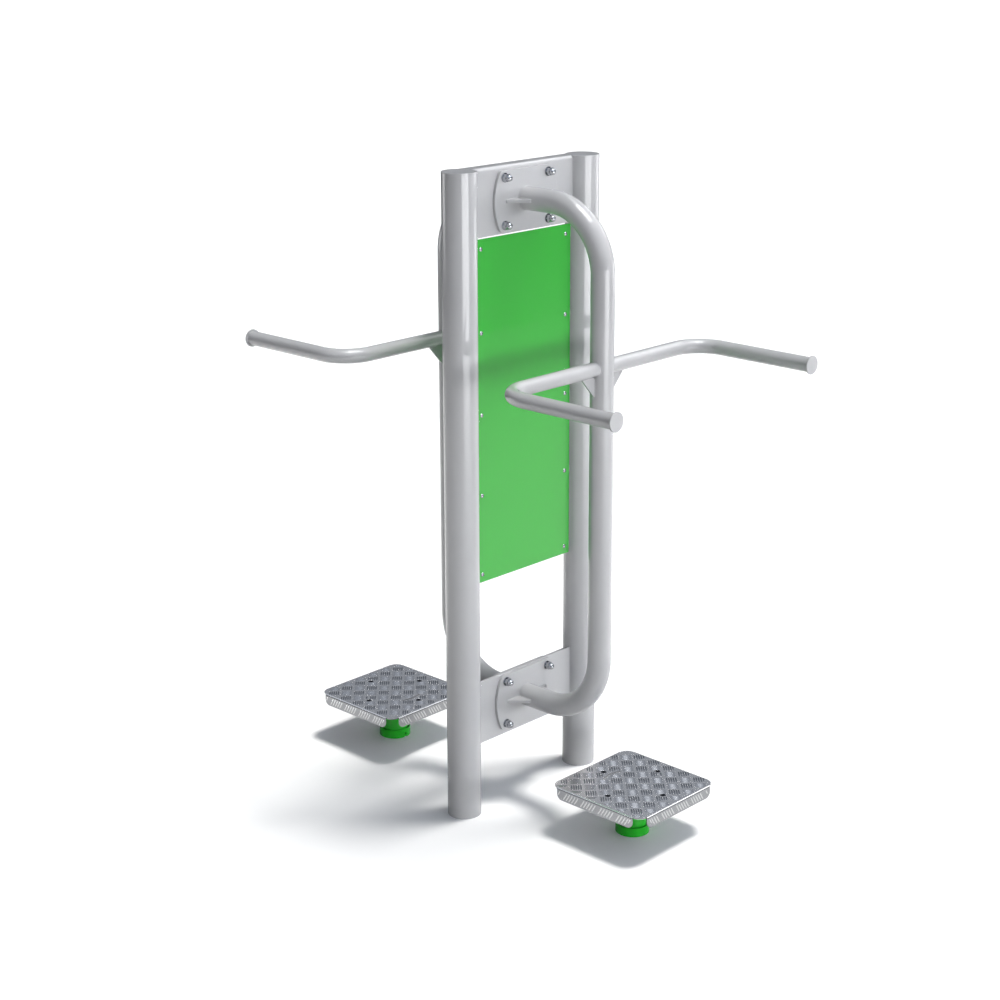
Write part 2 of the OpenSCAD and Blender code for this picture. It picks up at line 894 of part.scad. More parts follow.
module tread_nuts() {
    color(stainless) at_tread_screws() translate([0, 0, hub_top_z - tread_nut_h]) difference() {
        hex_prism(tread_nut_af, tread_nut_h);
        translate([0, 0, -overrun])
            cylinder(d = tread_screw_d + 2 * seat_gap, h = tread_nut_h + 2 * overrun);
    }
}

left_post();
right_post();
post_caps();
upper_cross_plate();
lower_cross_plate();
panel();
panel_tabs();
panel_screws();
panel_nuts();
front_arm();
rear_arm();
front_upper_flange();
front_lower_flange();
rear_upper_flange();
rear_lower_flange();
flange_ribs();
flange_bolts();
flange_washers();
cap_nuts();
front_left_handle();
front_right_handle();
rear_left_handle();
rear_right_handle();
handle_gussets();
handle_end_caps();
at_front_pedestal() base_ring();  // front_base_ring
at_front_pedestal() base_disc();  // front_base_disc
at_front_pedestal() spindle();  // front_spindle
at_front_pedestal() inner_races();  // front_inner_races
at_front_pedestal() retainer();  // front_retainer
at_front_pedestal() spindle_bolt();  // front_spindle_bolt
at_front_pedestal() outer_races();  // front_outer_races
at_front_pedestal() bearing_balls();  // front_bearing_balls
at_front_pedestal() seal();  // front_seal
at_front_pedestal() hub();  // front_hub
at_front_pedestal() skirt();  // front_skirt
at_front_pedestal() carrier();  // front_carrier
at_front_pedestal() carrier_ribs();  // front_carrier_ribs
at_front_pedestal() tread();  // front_tread
at_front_pedestal() tread_screws();  // front_tread_screws
at_front_pedestal() tread_nuts();  // front_tread_nuts
at_rear_pedestal() base_ring();  // rear_base_ring
at_rear_pedestal() base_disc();  // rear_base_disc
at_rear_pedestal() spindle();  // rear_spindle
at_rear_pedestal() inner_races();  // rear_inner_races
at_rear_pedestal() retainer();  // rear_retainer
at_rear_pedestal() spindle_bolt();  // rear_spindle_bolt
at_rear_pedestal() outer_races();  // rear_outer_races
at_rear_pedestal() bearing_balls();  // rear_bearing_balls
at_rear_pedestal() seal();  // rear_seal
at_rear_pedestal() hub();  // rear_hub
at_rear_pedestal() skirt();  // rear_skirt
at_rear_pedestal() carrier();  // rear_carrier
at_rear_pedestal() carrier_ribs();  // rear_carrier_ribs
at_rear_pedestal() tread();  // rear_tread
at_rear_pedestal() tread_screws();  // rear_tread_screws
at_rear_pedestal() tread_nuts();  // rear_tread_nuts
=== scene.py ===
"""Outdoor double twister, dressed for Blender.

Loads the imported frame, gives each CAD node its material, and adds the weld beads, the chequer
bars, the floor, the studio's light and the photograph's camera. All lengths are in metres.
"""

import json
import math

import bpy
from mathutils import Matrix, Vector


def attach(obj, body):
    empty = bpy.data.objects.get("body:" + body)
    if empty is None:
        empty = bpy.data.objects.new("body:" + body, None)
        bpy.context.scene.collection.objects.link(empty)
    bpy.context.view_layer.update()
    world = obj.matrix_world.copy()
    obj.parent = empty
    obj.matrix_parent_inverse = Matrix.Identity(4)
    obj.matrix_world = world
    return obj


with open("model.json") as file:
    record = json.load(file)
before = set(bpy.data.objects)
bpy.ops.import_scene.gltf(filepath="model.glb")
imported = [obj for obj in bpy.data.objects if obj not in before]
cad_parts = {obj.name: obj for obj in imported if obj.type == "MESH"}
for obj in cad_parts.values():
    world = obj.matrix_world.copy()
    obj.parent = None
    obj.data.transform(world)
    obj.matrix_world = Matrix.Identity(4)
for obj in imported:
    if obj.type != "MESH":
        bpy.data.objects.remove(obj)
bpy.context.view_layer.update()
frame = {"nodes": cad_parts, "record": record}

# Places of the CAD parts
POST_X, POST_R = 0.227, 0.04445
PLATE_FRONT, PLATE_BACK = -0.006, 0.002
FLANGE_T = 0.008
FRONT_SEAT, REAR_SEAT = PLATE_FRONT - FLANGE_T, PLATE_BACK + FLANGE_T
FRONT_ARM_Y, REAR_ARM_Y = -0.2705, 0.2665
ARM_R, HANDLE_R = 0.03015, 0.019
ARM_LOW_Z, ARM_HIGH_Z = 0.2723, 1.6165
HANDLE_Z = 1.2184
RIB_W, RIB_L, RIB_T = 0.045, 0.044, 0.008
GUSSET_W, GUSSET_H, GUSSET_T = 0.045, 0.050, 0.005
FRONT_Y, REAR_Y = -0.390, 0.5096
TREAD_W, TREAD_Z, TREAD_CORNER_R, TREAD_FOLD_R = 0.308, 0.131, 0.028, 0.004
TREAD_STRAIGHT = TREAD_W / 2 - TREAD_CORNER_R
LIP_CORNER_R = 0.016
SCREW_CIRCLE_R, SLOT_R, SLOT_W, SLOT_HALF_ANGLE = 0.100, 0.078, 0.0055, math.radians(24)
HUB_R, CARRIER_UNDER_Z = 0.031, 0.122

UP = Vector((0, 0, 1))
SHARP_ANGLE = math.radians(30)


# Camera, as fitted to the photograph

CAMERA_PLACE = (-3.63516, -3.40153, 2.36585)
CAMERA_YAW, CAMERA_PITCH = math.radians(46.2197), math.radians(14.9742)
CAMERA_ROLL = math.radians(-0.2172)
FOCAL_PX, IMAGE_PX, SENSOR_MM = 1978.875, 1000, 36.0
CAMERA_SHIFT_Y = -0.08


def make_camera():
    data = bpy.data.cameras.new("camera")
    data.sensor_width = SENSOR_MM
    data.lens = FOCAL_PX * SENSOR_MM / IMAGE_PX
    data.shift_y = CAMERA_SHIFT_Y
    data.clip_start, data.clip_end = 0.1, 400.0
    camera = bpy.data.objects.new("camera", data)
    bpy.context.scene.collection.objects.link(camera)
    level = math.cos(CAMERA_PITCH)
    forward = Vector((math.sin(CAMERA_YAW) * level, math.cos(CAMERA_YAW) * level,
                      -math.sin(CAMERA_PITCH)))
    right = forward.cross(UP).normalized()
    up = right.cross(forward)
    rolled_right = math.cos(CAMERA_ROLL) * right + math.sin(CAMERA_ROLL) * up
    rolled_up = rolled_right.cross(forward)
    turn = Matrix((rolled_right, rolled_up, -forward)).transposed()
    camera.matrix_world = Matrix.Translation(CAMERA_PLACE) @ turn.to_4x4()
    bpy.context.scene.camera = camera


# Node trees

class Tree:
    """A node tree with short calls for adding and linking nodes."""

    def __init__(self, tree):
        self.tree = tree
        self.tree.nodes.clear()

    def add(self, kind, settings=None, **inputs):
        """Adds a node. Inputs go by their names, with underscores for spaces."""
        node = self.tree.nodes.new(kind)
        for key, value in (settings or {}).items():
            setattr(node, key, value)
        for key, value in inputs.items():
            self.put(node.inputs[key.replace("_", " ")], value)
        return node

    def put(self, socket, value):
        if isinstance(value, bpy.types.NodeSocket):
            self.tree.links.new(value, socket)
        else:
            socket.default_value = value

    def put_all(self, sockets, values):
        for socket, value in zip(sockets, values):
            self.put(socket, value)

    def math(self, operation, *values):
        node = self.add("ShaderNodeMath", {"operation": operation})
        self.put_all(node.inputs, values)
        return node.outputs[0]

    def product(self, *values):
        out = values[0]
        for value in values[1:]:
            out = self.math("MULTIPLY", out, value)
        return out

    def ramp(self, value, low, high, to_low=0.0, to_high=1.0):
        """A smooth step from to_low to to_high, between low and high."""
        node = self.add("ShaderNodeMapRange", {"interpolation_type": "SMOOTHSTEP"}, Value=value,
                        From_Min=low, From_Max=high, To_Min=to_low, To_Max=to_high)
        return node.outputs["Result"]

    def band(self, value, rise, fall):
        """1 between two soft edges. Each edge is given by where it starts and where it ends."""
        return self.product(self.ramp(value, *rise), self.ramp(value, *fall, 1.0, 0.0))

    def spread(self, noise, to_low, to_high, margin=0.2):
        """Noise stretched from to_low to to_high, because it rarely comes near 0 and 1."""
        return self.ramp(noise, margin, 1 - margin, to_low, to_high)

    def mix(self, factor, a, b, blend="MIX"):
        node = self.add("ShaderNodeMix", {"data_type": "RGBA", "blend_type": blend})
        # Inputs 6 and 7 are the two colours, and output 2 is the mixed colour
        self.put_all((node.inputs[0], node.inputs[6], node.inputs[7]), (factor, a, b))
        return node.outputs[2]

    def noise(self, place, scale, detail=2.0, roughness=0.5):
        node = self.add("ShaderNodeTexNoise", Vector=place, Scale=scale, Detail=detail,
                        Roughness=roughness)
        return node.outputs["Fac"]


def rgb(r, g, b):
    return (r, g, b, 1.0)


def material(name):
    """A new material, its emptied tree, and the place on the object in metres."""
    made = bpy.data.materials.new(name)
    made.use_nodes = True
    tree = Tree(made.node_tree)
    return made, tree, tree.add("ShaderNodeTexCoord").outputs["Object"]


def finish_material(t, color, normal, **settings):
    shader = t.add("ShaderNodeBsdfPrincipled", Base_Color=color, Normal=normal, **settings)
    t.add("ShaderNodeOutputMaterial", Surface=shader.outputs[0])
    return shader


# Materials. The scales of noise are in waves per metre.

CLOUD_SCALE, SPECK_SCALE, PEEL_SCALE = 5.0, 900.0, 420.0
SPOT_SCALE, RUBBER_SCALE = 60.0, 1500.0
TURNED, ROLLED, STAMPED = (200.0, 200.0, 1500.0), (30.0, 900.0, 900.0), (300.0, 300.0, 300.0)
SPOT_TONE, SPOT_GLOSS, GRAIN_GLOSS = 0.97, 0.05, 0.12
# How far a normal points up where a metal's upright faces start and stop taking their painted
# shade
UPRIGHT_SHADE_BELOW = (0.3, 0.7)


def paint(name, color, roughness, coat, coat_roughness, grain=0.05, flakes=0.0, edge=0.0):
    """Powder-coated steel: a fine orange peel, slight clouds and, on cut plate, eased edges."""
    made, t, place = material(name)
    cloud = t.noise(place, CLOUD_SCALE, 3.0)
    speck = t.noise(place, SPECK_SCALE, 1.0)
    shade = t.math("ADD", t.spread(cloud, 1 - grain, 1 + grain, 0.15),
                   t.spread(speck, -flakes, flakes))
    tone = t.add("ShaderNodeVectorMath", {"operation": "SCALE"}, Scale=shade)
    t.put(tone.inputs[0], color)
    peel = t.noise(place, PEEL_SCALE, 2.0)
    bump = t.add("ShaderNodeBump", Strength=0.06, Distance=0.0006, Height=peel)
    rough = t.spread(cloud, roughness - 0.03, roughness + 0.03, 0.15)
    shader = finish_material(t, tone.outputs[0], bump.outputs[0], Roughness=rough,
                             Specular_IOR_Level=0.15, Coat_Weight=coat,
                             Coat_Roughness=coat_roughness)
    if edge:
        eased = t.add("ShaderNodeBevel", {"samples": 8}, Radius=edge).outputs[0]
        t.put(bump.inputs["Normal"], eased)
        t.put(shader.inputs["Coat Normal"], eased)
    return made


def metal(name, color, roughness, grain_scale, side=None):
    """Bare metal with a fine grain and small spots of another gloss.

    Upright faces take the tone `side`, where it is given: painted shade, a darker copy of the
    metal where light falls less.
    """
    made, t, place = material(name)
    stretch = t.add("ShaderNodeMapping", Vector=place, Scale=grain_scale)
    grain = t.noise(stretch.outputs[0], 1.0, 3.0, 0.6)
    spots = t.noise(place, SPOT_SCALE, 2.0)

    def spotted(base):
        return t.mix(t.spread(spots, 0.0, 1.0), rgb(*(SPOT_TONE * c for c in base)), rgb(*base))

    tone = spotted(color)
    if side:
        normal = t.add("ShaderNodeNewGeometry").outputs["Normal"]
        facing_up = t.add("ShaderNodeSeparateXYZ", Vector=normal).outputs["Z"]
        # Painted shade: faces that point less upwards get the darker side tone in place of less
        # light
        tone = t.mix(t.ramp(facing_up, *UPRIGHT_SHADE_BELOW), spotted(side), tone)
    rough = t.math("ADD", t.spread(grain, -GRAIN_GLOSS * roughness, GRAIN_GLOSS * roughness),
                   t.spread(spots, (1 - SPOT_GLOSS) * roughness, (1 + SPOT_GLOSS) * roughness))
    bump = t.add("ShaderNodeBump", Strength=0.02, Distance=0.0001, Height=grain)
    finish_material(t, tone, bump.outputs[0], Roughness=rough, Metallic=1.0)
    return made


def rubber(name):
    made, t, place = material(name)
    grain = t.noise(place, RUBBER_SCALE, 2.0)
    tone = t.mix(grain, rgb(0.012, 0.012, 0.013), rgb(0.03, 0.03, 0.032))
    bump = t.add("ShaderNodeBump", Strength=0.2, Distance=0.0002, Height=grain)
    finish_material(t, tone, bump.outputs[0], Roughness=0.6)
    return made


GREY = (0.43, 0.43, 0.436)
MATERIALS = {
    "grey_paint": paint("grey_paint", GREY, 0.38, 1.0, 0.02, flakes=0.02),
    "panel_paint": paint("panel_paint", (0.029, 0.375, 0.032), 0.30, 1.0, 0.12, grain=0.02),
    "pedestal_paint": paint("pedestal_paint", (0.012, 0.37, 0.014), 0.32, 0.8, 0.07),
    # The aluminium's upright faces take a darker tone, painted shade
    "aluminium": metal("aluminium", (0.90, 0.88, 0.86), 0.22, ROLLED, side=(0.50, 0.505, 0.52)),
    "stainless": metal("stainless", (0.46, 0.47, 0.49), 0.07, TURNED),
    "black_steel": metal("black_steel", (0.030, 0.032, 0.040), 0.32, TURNED),
    "rubber": rubber("rubber"),
}

# Painted light on one metal: the bars on top are painted darker, as painted shade that tames their
# glints, and those on the lips paler, as painted highlight for their bright strokes
TOP_BAR_SHADED_METAL = metal("aluminium_bars_painted_shade", (0.42, 0.43, 0.45), 0.16, STAMPED)
LIP_BAR_LIT_METAL = metal("aluminium_lip_bars_painted_highlight", (0.93, 0.93, 0.94), 0.16, STAMPED)

# Cut plate has eased edges, which tubes don't need
GREY_PLATE = paint("grey_paint_plate", GREY, 0.38, 1.0, 0.02, flakes=0.02, edge=0.0010)
PLATES = {"post_caps", "upper_cross_plate", "lower_cross_plate", "panel_tabs",
          "front_upper_flange", "front_lower_flange", "rear_upper_flange", "rear_lower_flange",
          "flange_ribs", "handle_gussets", "handle_end_caps"}


def dress(mesh, finish, sharp):
    """Gives the mesh its one material and smooth faces, with its sharp edges kept or not."""
    mesh.materials.clear()
    mesh.materials.append(finish)
    for face in mesh.polygons:
        face.use_smooth = True
    if sharp:
        mesh.set_sharp_from_angle(angle=SHARP_ANGLE)


def dress_nodes():
    slots = {part["node"]: part["material_slot"] for part in frame["record"]["subparts"]}
    for name, node in frame["nodes"].items():
        finish = GREY_PLATE if name in PLATES else MATERIALS[slots[name]]
        dress(node.data, finish, sharp=True)


def make_piece(name, body, slot, verts, faces, finish=None, sharp=False):
    mesh = bpy.data.meshes.new(name)
    mesh.from_pydata([tuple(v) for v in verts], [], faces)
    mesh.validate()
    mesh.update()
    dress(mesh, finish or MATERIALS[slot], sharp)
    piece = bpy.data.objects.new(name, mesh)
    bpy.context.scene.collection.objects.link(piece)
    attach(piece, body)


# Weld beads: tubes of overlapping ripples along a path

RIPPLE, RIPPLE_STEPS, RIPPLE_SWELL = 0.0035, 4, 0.13
BEAD_SIDES, BEAD_TIP = 8, 0.45
CIRCLE_STEPS = 72
ARM_BEAD_R, HANDLE_BEAD_R, RIB_BEAD_R = 0.0015, 0.0016, 0.0014
GUSSET_BEAD_R, PLATE_BEAD_R, HUB_BEAD_R = 0.0013, 0.0012, 0.0022
ARM_BEAD_OUT, HUB_BEAD_OUT = 0.0004, 0.0003
# How far beads stay from a corner that another weld runs through
RIB_GAP, GUSSET_GAP = 0.002, 0.006
PLATE_BEADS_Z = ((0.183, 0.351), (1.536, 1.696))


def resample(path, step, closed):
    """Points at even distances of about one step along the path."""
    points = list(path) + ([path[0]] if closed else [])
    lengths = [0.0]
    for a, b in zip(points, points[1:]):
        lengths.append(lengths[-1] + (b - a).length)
    count = max(2, round(lengths[-1] / step))
    out, k = [], 0
    for i in range(count if closed else count + 1):
        want = lengths[-1] * i / count
        while k < len(lengths) - 2 and lengths[k + 1] < want:
            k += 1
        share = (want - lengths[k]) / max(lengths[k + 1] - lengths[k], 1e-9)
        out.append(points[k].lerp(points[k + 1], share))
    return out


def bead_rings(points, radius, closed):
    """A ring of corners round each point, wider and narrower with the ripples."""
    n = len(points)
    rings = []
    for i, p in enumerate(points):
        ahead = points[(i + 1) % n] if closed or i < n - 1 else p + (p - points[i - 1])
        behind = points[i - 1] if closed or i > 0 else p - (points[1] - p)
        along = (ahead - behind).normalized()
        if i == 0:
            side = along.orthogonal().normalized()
        else:
            side = (side - side.dot(along) * along).normalized()
        other = along.cross(side)
        wave = 1 - 2 * (i % RIPPLE_STEPS) / (RIPPLE_STEPS - 1)
        swell = radius * (1 + RIPPLE_SWELL * wave)
        if not closed and i in (0, n - 1):
            swell *= BEAD_TIP
        ring = []
        for k in range(BEAD_SIDES):
            a = 2 * math.pi * k / BEAD_SIDES
            ring.append(p + swell * (math.cos(a) * side + math.sin(a) * other))
        rings.append(ring)
    return rings


def add_bead(verts, faces, path, radius, closed):
    """Adds a rippled bead along the path to the lists of verts and faces."""
    rings = bead_rings(resample(path, RIPPLE / RIPPLE_STEPS, closed), radius, closed)
    base, n, sides = len(verts), len(rings), BEAD_SIDES
    for ring in rings:
        verts.extend(ring)
    turn = 0
    if closed:
        # The first ring, seen from the last one, may be turned by some steps
        turn = min(range(sides), key=lambda k: (rings[-1][k] - rings[0][0]).length)
    for i in range(n if closed else n - 1):
        j = (i + 1) % n
        shift = turn if closed and j == 0 else 0
        for k in range(sides):
            faces.append((base + i * sides + (k + shift) % sides,
                          base + i * sides + (k + 1 + shift) % sides,
                          base + j * sides + (k + 1) % sides,
                          base + j * sides + k))
    if not closed:
        faces.append(tuple(base + k for k in reversed(range(sides))))
        faces.append(tuple(base + (n - 1) * sides + k for k in range(sides)))


def circle_path(centre, axis, radius):
    axis = Vector(axis).normalized()
    u = axis.orthogonal().normalized()
    v = axis.cross(u)
    path = []
    for i in range(CIRCLE_STEPS):
        a = 2 * math.pi * i / CIRCLE_STEPS
        path.append(Vector(centre) + radius * (math.cos(a) * u + math.sin(a) * v))
    return path


def saddle_path(side, arm_y):
    """Where a handle tube along X meets the arm's upright tube."""
    path = []
    for i in range(CIRCLE_STEPS):
        a = 2 * math.pi * i / CIRCLE_STEPS
        y, z = HANDLE_R * math.sin(a), HANDLE_R * math.cos(a)
        x = math.sqrt(ARM_R ** 2 - y ** 2)
        path.append(Vector((side * x, arm_y + y, HANDLE_Z + z)))
    return path


def rib_paths():
    """Where the ribs beside each arm leg meet the flange, and where they meet the leg."""
    root_x = math.sqrt(ARM_R ** 2 - (RIB_T / 2) ** 2)
    paths = []
    for seat, out in ((FRONT_SEAT, -1), (REAR_SEAT, 1)):
        for arm_z in (ARM_LOW_Z, ARM_HIGH_Z):
            for side in (-1, 1):
                for face in (-1, 1):
                    z = arm_z + face * RIB_T / 2
                    paths.append([Vector((side * (ARM_R + RIB_GAP), seat, z)),
                                  Vector((side * (ARM_R + RIB_W), seat, z))])
                    paths.append([Vector((side * root_x, seat + out * RIB_GAP, z)),
                                  Vector((side * root_x, seat + out * RIB_L, z))])
    return paths


def gusset_paths():
    """Where the gusset under each handle meets the arm, and where it meets the handle."""
    root_x = math.sqrt(ARM_R ** 2 - (GUSSET_T / 2) ** 2)
    root_z = HANDLE_Z - math.sqrt(HANDLE_R ** 2 - (GUSSET_T / 2) ** 2)
    paths = []
    for arm_y in (FRONT_ARM_Y, REAR_ARM_Y):
        for side in (-1, 1):
            for face in (-1, 1):
                y = arm_y + face * GUSSET_T / 2
                paths.append([Vector((side * root_x, y, root_z - GUSSET_GAP)),
                              Vector((side * root_x, y, root_z - GUSSET_H))])
                paths.append([Vector((side * (root_x + GUSSET_GAP), y, root_z)),
                              Vector((side * (root_x + GUSSET_W), y, root_z))])
    return paths


def plate_paths():
    """Where the cross plates meet the posts."""
    paths = []
    for low, high in PLATE_BEADS_Z:
        for y in (PLATE_FRONT, PLATE_BACK):
            x = POST_X - math.sqrt(POST_R ** 2 - y ** 2)
            for side in (-1, 1):
                paths.append([Vector((side * x, y, low)), Vector((side * x, y, high))])
    return paths


def weld(name, body, radius, paths, closed):
    verts, faces = [], []
    for path in paths:
        add_bead(verts, faces, path, radius, closed)
    make_piece(name, body, "grey_paint", verts, faces)


def make_welds():
    legs = [circle_path((0, seat, z), (0, 1, 0), ARM_R + ARM_BEAD_OUT)
            for seat in (FRONT_SEAT, REAR_SEAT) for z in (ARM_LOW_Z, ARM_HIGH_Z)]
    handles = [saddle_path(side, arm_y) for arm_y in (FRONT_ARM_Y, REAR_ARM_Y) for side in (-1, 1)]
    weld("arm_flange_welds", "frame", ARM_BEAD_R, legs, closed=True)
    weld("handle_welds", "frame", HANDLE_BEAD_R, handles, closed=True)
    weld("rib_welds", "frame", RIB_BEAD_R, rib_paths(), closed=False)
    weld("gusset_welds", "frame", GUSSET_BEAD_R, gusset_paths(), closed=False)
    weld("plate_welds", "frame", PLATE_BEAD_R, plate_paths(), closed=False)
    for place, y in (("front", FRONT_Y), ("rear", REAR_Y)):
        hub = circle_path((0, y, CARRIER_UNDER_Z), (0, 0, 1), HUB_R + HUB_BEAD_OUT)
        weld(place + "_hub_weld", place + "_platform", HUB_BEAD_R, [hub], closed=True)


# Chequer bars: low lens-shaped bars in groups of five, in two directions

BARS, BAR_STEPS = 5, 10
BAR_PROFILE = ((1, -0.3), (1, 0.0), (0.5, 0.62), (0, 1), (-0.5, 0.62), (-1, 0.0), (-1, -0.3))
# At the tips of a bar, as a share of its middle, and how the bar grows from there
TIP_WIDTH, WIDTH_CURVE = 0.2, 0.4
TIP_HEIGHT, HEIGHT_CURVE = 0.03, 1.2
TOP_BAR_L, TOP_BAR_W, TOP_BAR_H = 0.0300, 0.0042, 0.00062
TOP_BAR_PITCH, TOP_GROUP_PITCH, TOP_REACH = 0.0060, 0.0505, 5
TOP_PHASE = Vector((0.0075, 0.0155))
TOP_SHORT_BAR = 0.7
CORNER_CLEARANCE, SCREW_CLEARANCE = 0.003, 0.0095
SLOT_CLEARANCE, SLOT_END_CLEARANCE = 0.0015, 0.06
LIP_BAR_L, LIP_BAR_W, LIP_BAR_H, LIP_BAR_DEPTH = 0.0250, 0.0038, 0.0011, 0.0168
LIP_BAR_PITCH, LIP_GROUP_PITCH, LIP_REACH = 0.0095, 0.0590, 3
LIP_BAR_LEAN = math.radians(58)
# From LIP_END on, bars are shorter and higher up, and LIP_END_REACH further on they stop
LIP_END, LIP_END_REACH = TREAD_STRAIGHT - 1.1 * LIP_CORNER_R, 0.75 * LIP_CORNER_R
LIP_END_SHORT_BAR, LIP_END_RISE = 0.6, 0.004
# For each quarter turn: where the middle group lies along the lip, and which way its bars lean
LIPS = ((-0.020, 1), (0.013, -1), (-0.020, 1), (0.013, -1))


def add_bar(verts, faces, centre, along, normal, size):
    """A lens-shaped bar on a plane: highest and widest at its middle, its foot sunk a little."""
    length, width, height = size
    across = normal.cross(along)
    base, row = len(verts), len(BAR_PROFILE)
    for i in range(BAR_STEPS + 1):
        s = -1 + 2 * i / BAR_STEPS
        grow = 1 - s * s
        widest = width / 2 * (TIP_WIDTH + (1 - TIP_WIDTH) * grow ** WIDTH_CURVE)
        highest = TIP_HEIGHT + (1 - TIP_HEIGHT) * grow ** HEIGHT_CURVE
        for w, h in BAR_PROFILE:
            high = height * (h * highest if h > 0 else h)
            verts.append(centre + s * length / 2 * along + widest * w * across + high * normal)
    for i in range(BAR_STEPS):
        start = base + i * row
        for k in range(start, start + row - 1):
            faces.append((k, k + 1, k + row + 1, k + row))
        faces.append((start + row - 1, start, start + row, start + 2 * row - 1))
    faces.append(tuple(base + k for k in range(row)))
    faces.append(tuple(base + BAR_STEPS * row + k for k in reversed(range(row))))


def on_plain_sheet(p):
    """Whether p, on the tread's top from its centre, is clear of the edges and the holes."""
    if max(abs(p.x), abs(p.y)) > TREAD_W / 2 - TREAD_FOLD_R:
        return False
    over = Vector((max(0, abs(p.x) - TREAD_STRAIGHT), max(0, abs(p.y) - TREAD_STRAIGHT)))
    if over.length > TREAD_CORNER_R - CORNER_CLEARANCE:
        return False
    for k in range(4):
        a = k * math.pi / 2
        screw = SCREW_CIRCLE_R * Vector((math.cos(a), math.sin(a)))
        if (p - screw).length < SCREW_CLEARANCE:
            return False
    along_slot = abs(math.atan2(p.x, p.y)) < SLOT_HALF_ANGLE + SLOT_END_CLEARANCE
    return not (along_slot and abs(p.length - SLOT_R) < SLOT_W / 2 + SLOT_CLEARANCE)


def add_top_bars(verts, faces):
    cells = range(-TOP_REACH, TOP_REACH + 1)
    for i, j, kind in ((i, j, kind) for i in cells for j in cells for kind in (0, 1)):
        centre = TOP_PHASE + TOP_GROUP_PITCH * Vector((i + 0.5 * kind, j + 0.5 * kind))
        along = Vector((1, -1 if kind == 0 else 1)).normalized()
        across = Vector((along.y, -along.x))
        for b in range(BARS):
            p = centre + (b - (BARS - 1) / 2) * TOP_BAR_PITCH * across
            for length in (TOP_BAR_L, TOP_BAR_L * TOP_SHORT_BAR):
                if all(on_plain_sheet(p + s * length * along) for s in (-0.5, 0.0, 0.5)):
                    add_bar(verts, faces, Vector((p.x, p.y, TREAD_Z)), along.to_3d(), UP,
                            (length, TOP_BAR_W, TOP_BAR_H))
                    break


def add_lip_bars(verts, faces):
    """One row of groups on each of the four lips."""
    for quarter, (start, lean) in enumerate(LIPS):
        turn = Matrix.Rotation(quarter * math.pi / 2, 3, "Z")
        normal = turn @ Vector((1, 0, 0))
        tangent = turn @ Vector((0, 1, 0))
        along = tangent * math.cos(LIP_BAR_LEAN) + UP * lean * math.sin(LIP_BAR_LEAN)
        for i in range(-LIP_REACH, LIP_REACH + 1):
            for b in range(BARS):
                s = start + i * LIP_GROUP_PITCH + (b - (BARS - 1) / 2) * LIP_BAR_PITCH
                past = abs(s) - LIP_END
                if past > LIP_END_REACH:
                    continue
                length, depth = LIP_BAR_L, LIP_BAR_DEPTH
                if past >= 0:
                    length, depth = length * LIP_END_SHORT_BAR, depth - LIP_END_RISE
                centre = normal * TREAD_W / 2 + tangent * s + UP * (TREAD_Z - depth)
                add_bar(verts, faces, centre, along, normal, (length, LIP_BAR_W, LIP_BAR_H))


def make_bars(side, centre_y, turn):
    place = Matrix.Translation((0, centre_y, 0)) @ Matrix.Rotation(turn, 4, "Z")
    # Top bars take the metal painted darker and lip bars the metal painted paler: painted shade
    # and painted highlight
    for add_bars, name, finish in ((add_top_bars, "tread_bars", TOP_BAR_SHADED_METAL),
                                   (add_lip_bars, "lip_bars", LIP_BAR_LIT_METAL)):
        verts, faces = [], []
        add_bars(verts, faces)
        make_piece(f"{side}_{name}", side + "_platform", "aluminium",
                   [place @ v for v in verts], faces, finish, sharp=True)


# Floor

FLOOR_REACH = 150.0
FLOOR_SEEN, FLOOR_IN_GLOSS = rgb(1.0, 1.0, 1.0), rgb(0.62, 0.62, 0.62)
FLOOR_BOUNCE = rgb(0.30, 0.30, 0.30)
FLOOR_LEAVES_GLOSS = (0.9, 1.5)


def make_floor():
    """White floor for the shadows. Away from the object, gloss sees the studio in its place."""
    made, t, place = material("floor")
    path = t.add("ShaderNodeLightPath").outputs
    tone = t.mix(path["Is Camera Ray"], FLOOR_BOUNCE, FLOOR_SEEN)
    tone = t.mix(path["Is Glossy Ray"], tone, FLOOR_IN_GLOSS)
    matte = t.add("ShaderNodeBsdfDiffuse", Color=tone)
    clear = t.add("ShaderNodeBsdfTransparent")
    away = t.add("ShaderNodeVectorMath", {"operation": "LENGTH"})
    t.put(away.inputs[0], place)
    far = t.product(path["Is Glossy Ray"], t.ramp(away.outputs["Value"], *FLOOR_LEAVES_GLOSS))
    seen = t.add("ShaderNodeMixShader")
    t.put_all(seen.inputs, (far, matte.outputs[0], clear.outputs[0]))
    t.add("ShaderNodeOutputMaterial", Surface=seen.outputs[0])

    r = FLOOR_REACH
    mesh = bpy.data.meshes.new("floor")
    mesh.from_pydata([(-r, -r, 0), (r, -r, 0), (r, r, 0), (-r, r, 0)], [], [(0, 1, 2, 3)])
    mesh.materials.append(made)
    floor = bpy.data.objects.new("floor", mesh)
    bpy.context.scene.collection.objects.link(floor)


# Studio light. A soft edge is given by where it starts and where it ends: in Z along the height
# of the direction, else along the direction named.

TO_CAMERA, TO_RIGHT = (-0.722, -0.692, 0.0), (0.692, -0.722, 0.0)
TO_KEY_SIDE, TO_BEHIND = (0.521, -0.854, 0.0), (0.6, 0.8, 0.0)

# Light on matte surfaces, low enough to leave the floor's shadows dark
FILL_EVEN, FILL_KEY_SIDE, FILL_LEAST = 4.9, 8.2, 0.25
FILL_Z, FILL_ABOVE = (0.0, 0.27), 0.05
BEHIND_Z, BEHIND_STRENGTH = (0.0, 0.10), 17.0
TINT_Z, TINT_LOW, TINT_HIGH = (0.1, 0.3), (0.99, 0.99, 1.01), (0.90, 0.99, 1.12)

